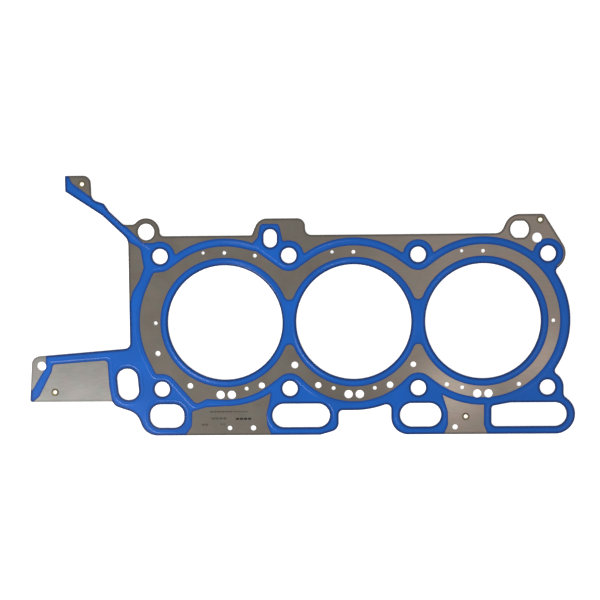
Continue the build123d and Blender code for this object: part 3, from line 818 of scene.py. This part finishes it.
bore_outline = flat_loops("low_bore_coat", top_of("low_bore_coat"))
bore_loops = [finer(loop) for loop in bore_outline if off_the_bead(loop)]
wide_band = slab("upper_wide_band", band_loops, line_top, level(STEEL_Z), line_rows)
bore_band = slab("upper_bore_band", bore_loops, coat_top, sheet_top, bead_rows, bead_rows)
for piece, layer in (
    (wide_band, "top_perimeter_coat"),
    (bore_band, "top_bore_coat"),
    (mirrored(wide_band, "lower_wide_band"), "low_perimeter_coat"),
    (mirrored(bore_band, "lower_bore_band"), "low_bore_coat"),
):
    place(piece, layer, "blue_coating", rubber, rubber)

# %% [markdown]
# ## Eyelets
# An eyelet is a short brass tube set through the stack, with its ends rolled outwards. Half
# of its section is drawn as a line of points, from the middle of the hole up over the lip
# and back under the flange. It is mirrored for the other end, and turned about the axis.

# %% Section of a rolled eyelet
ROLLED_END = [  # radius and height above the middle, in millimetres
    (1.50, 0.00), (1.50, 0.50), (1.55, 0.66), (1.68, 0.77), (1.92, 0.82), (2.35, 0.825),
    (2.75, 0.79), (3.00, 0.72), (3.10, 0.62), (3.07, 0.56), (2.98, 0.53), (2.15, 0.53),
    (2.03, 0.49), (2.00, 0.42),
]
# The lip's faces are painted pale, as a painted highlight.
LIP_SIDES = 3  # sides of the section, from the middle up, that belong to the clean lip
section = ROLLED_END + [(r, -z) for r, z in reversed(ROLLED_END[1:])]
on_lip = [int(min(k, len(section) - 1 - k) < LIP_SIDES) for k in range(len(section))]
print("an eyelet's section has", len(section), "points")

# %% [markdown]
# ## Turning the eyelets
# A lathe in code: the section is repeated at even steps round the axis, and neighbouring
# copies are joined by four-sided faces. The faces of the lip take the second finish.

# %% Rolled eyelets
EYELET_SIDES = 48


def lathe(name, section, centre, middle):
    """Turn a closed section of (radius, height) points about an upright axis."""
    turns = np.exp(2j * math.pi * np.arange(EYELET_SIDES) / EYELET_SIDES)
    flat = [(centre + r * t, middle + z) for t in turns for r, z in section]
    verts = [(p.real * MM, p.imag * MM, z * MM) for p, z in flat]
    n = len(section)
    faces = [
        (a * n + k, b * n + k, b * n + (k + 1) % n, a * n + (k + 1) % n)
        for a, b in ((s, (s + 1) % EYELET_SIDES) for s in range(EYELET_SIDES))
        for k in range(n)
    ]
    mesh = bpy.data.meshes.new(name)
    mesh.from_pydata(verts, [], faces)
    mesh.polygons.foreach_set("use_smooth", [True] * len(faces))
    mesh.flip_normals()
    return add_object(name, mesh)


for layer in sorted(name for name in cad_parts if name.startswith("eyelet_")):
    low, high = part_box(layer)
    centre = complex(low.x + high.x, low.y + high.y) / 2 / MM
    eyelet = lathe(layer + "_rolled", section, centre, MIDDLE_Z)
    place(eyelet, layer, "eyelet_brass", flange_brass, lip_brass)
    eyelet.data.polygons.foreach_set("material_index", on_lip * EYELET_SIDES)
    print(layer, "at", centre)

# %% [markdown]
# ## Ink dashes
# Such sheets carry a few lines of ink on the bare steel. Here they are plain short dashes:
# thin flat strokes with round ends, some of them faded. Each point keeps how faded its dash
# is, so one mesh and one finish serve them all.

# %% Ink dashes
INK_T = 0.008
DASH_GAP = 0.35
END_STEPS = 8  # straight sides of a dash's round end
DASH_ROWS = (  # left end, height on the sheet, number, length, stroke width, how faded
    (-119.5, -74.0, 6, 2.8, 1.3, 0.45),
    (-100.0, -74.0, 4, 2.8, 1.1, 0.62),
    (-118.5, -79.6, 4, 2.9, 1.7, 0.50),
    (-98.3, -80.0, 4, 3.0, 1.9, 0.05),
    (-126.5, -84.8, 2, 2.4, 1.8, 0.52),
    (-111.5, -84.4, 2, 2.2, 1.4, 0.66),
)


def stroke(left, y, length, width):
    """Outline of a dash with round ends, anticlockwise."""
    half = width / 2
    right_end = half * np.exp(1j * math.pi * (np.arange(END_STEPS + 1) / END_STEPS - 0.5))
    first, last = left + half + 1j * y, left + length - half + 1j * y
    return np.concatenate([last + right_end, first - right_end])


verts, faces, fades = [], [], []
for left, y, dashes, length, width, fade in DASH_ROWS:
    for k in range(dashes):
        outline = stroke(left + k * (length + DASH_GAP), y, length, width)
        n, first = len(outline), len(verts)
        for z in (STEEL_Z + INK_T, STEEL_Z):
            verts += [(p.real * MM, p.imag * MM, z * MM) for p in outline]
        faces.append(tuple(range(first, first + n)))
        faces.append(tuple(range(first + 2 * n - 1, first + n - 1, -1)))
        for i in range(first, first + n):
            after = i + 1 if i + 1 < first + n else first
            faces.append((i, i + n, after + n, after))
        fades += [fade] * (2 * n)
ink_mesh = bpy.data.meshes.new("ink_dashes")
ink_mesh.from_pydata(verts, [], faces)
ink_mesh.attributes.new("fade", "FLOAT", "POINT").data.foreach_set("value", fades)
ink = add_object("ink_dashes", ink_mesh)
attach(ink, "root")
print("dashes:", sum(row[2] for row in DASH_ROWS))

# %% [markdown]
# ## Ink
# The ink is black and dull, and wears to the tone of the steel. A little noise added to how
# faded a dash is makes its wear uneven.

# %% Faded ink
INK = (0.014, 0.011, 0.010, 1)
WORN_INK = (0.110, 0.095, 0.078, 1)

faded_ink, ink_shader = finish("faded_ink")
blots = spread(faded_ink, pattern(faded_ink, 0.6), -0.15, 0.25)
wear = combine(faded_ink, "ADD", stored(faded_ink, "fade"), blots)
tone = blend(faded_ink, wear, INK, WORN_INK)
connect(faded_ink, ink_shader, Base_Color=tone, Roughness=0.6, Specular_IOR_Level=0.15)
ink_mesh.materials.append(faded_ink)
print("made", faded_ink.name)

# %% [markdown]
# ## Floor
# The part lies on a white floor that has to end as pure white, yet keep the part's soft
# shadow. A matt floor alone would look grey, so it also glows a little, but only for rays
# that look straight at it, in a mirror or through glass. The light it throws on the part
# stays that of a plain floor.

# %% Floor
FLOOR_HALF = 30.0  # metres
FLOOR_GAP = 0.0001  # below the part, so that the two never share a face
FLOOR_LIFT = 0.52  # glow near the part
FAR_LIFT = 0.77  # and far away, where less lamplight falls

floor_mesh = bpy.data.meshes.new("floor")
corners = [(x * FLOOR_HALF, y * FLOOR_HALF, 0) for x, y in ((-1, -1), (1, -1), (1, 1), (-1, 1))]
floor_mesh.from_pydata(corners, [], [(0, 1, 2, 3)])
floor = add_object("floor", floor_mesh)
floor.location.z = -FLOOR_GAP


def shown_directly(tree):
    """1 for rays that show the surroundings: to the camera, in gloss, through glass."""
    path = node(tree, "LightPath").outputs
    seen = combine(tree, "ADD", path["Is Camera Ray"], path["Is Glossy Ray"], clamp=False)
    return combine(tree, "ADD", seen, path["Is Transmission Ray"])


white, white_shader = finish("white_floor")
connect(white, white_shader, Base_Color=(0.86, 0.86, 0.86, 1), Roughness=0.9)
connect(white, white_shader, Specular_IOR_Level=0.0)
away = node(white, "VectorMath", {"operation": "LENGTH"}, Vector=on_object(white)).outputs["Value"]
lift = spread(white, away, FLOOR_LIFT, FAR_LIFT, 0.5, 2.0)
strength = combine(white, "MULTIPLY", lift, shown_directly(white), clamp=False)
glow = node(white, "Emission", Color=(1, 1, 1, 1), Strength=strength)
both = node(white, "AddShader", _0=white_shader.outputs[0], _1=glow.outputs[0])
feed(white, white.node_tree.nodes["Material Output"], {"Surface": both.outputs[0]})
floor_mesh.materials.append(white)
print("floor glows", FLOOR_LIFT, "to", FAR_LIFT)

# %% [markdown]
# ## Light
# The room is white, and dimmer as a light than as a background. Four square lamps stand
# round the part. The key at the front left is large and soft. A small one behind draws the
# fine highlight along the beads, a wide one low on the left sweeps the flap, and a weak one
# on the right fills in.

# %% Lights
WORLD_LIGHT = 0.54
LAMPS = (  # name, direction, degrees from upright, distance, width, brightness
    ("key", 225, 35, 1.2, 0.36, 12.0),
    ("back", 108, 25, 0.66, 0.12, 8.0),
    ("side", 195, 64, 1.0, 0.8, 1.8),
    ("fill", -30, 40, 1.3, 0.6, 1.4),
)

world = bpy.data.worlds.new("studio")
bpy.context.scene.world = world
world.use_nodes = True
background = world.node_tree.nodes["Background"]
brightness = spread(world, shown_directly(world), WORLD_LIGHT, 1.0, 0, 1)
feed(world, background, {"Color": (1, 1, 1, 1), "Strength": brightness})

for name, azimuth, from_upright, distance, width, radiance in LAMPS:
    lamp = bpy.data.lights.new(name, "AREA")
    lamp.size = width
    lamp.energy = radiance * math.pi * width**2
    stand = add_object(name, lamp)
    turn = Euler((math.radians(from_upright), 0, math.radians(azimuth + 90)))
    stand.rotation_euler = turn
    stand.location = turn.to_matrix() @ Vector((0, 0, distance))
    print(f"{name}: {lamp.energy:.1f} W")

# %% [markdown]
# ## Camera
# The camera looks almost straight down from about 0.9 m. Its pose is given the way a lens
# calibration gives it: how the part is turned before the camera, and how far its origin lies
# beside the view's axis and away along it.

# %% Camera
VIEW_DISTANCE = 900.0
VIEW_TILT = Euler((0.0633444, -0.0216835, 0.0076456))
VIEW_SHIFT = Vector((44.2084, -17.9641, 0))
LENS_MM = 65.63
SENSOR_MM = 36

lens = bpy.data.cameras.new("camera")
lens.sensor_width = SENSOR_MM
lens.lens = LENS_MM
lens.clip_start = 0.01
lens.clip_end = 100
camera = add_object("camera", lens)
aim = VIEW_TILT.to_matrix().transposed()
stand = aim @ (Vector((0, 0, VIEW_DISTANCE)) - VIEW_SHIFT) + Vector((0, 0, STEEL_Z))
camera.matrix_world = Matrix.Translation(stand * MM) @ aim.to_4x4()
bpy.context.scene.camera = camera
bpy.context.scene.view_settings.view_transform = "Standard"
print("camera at", [round(c) for c in stand], "mm")
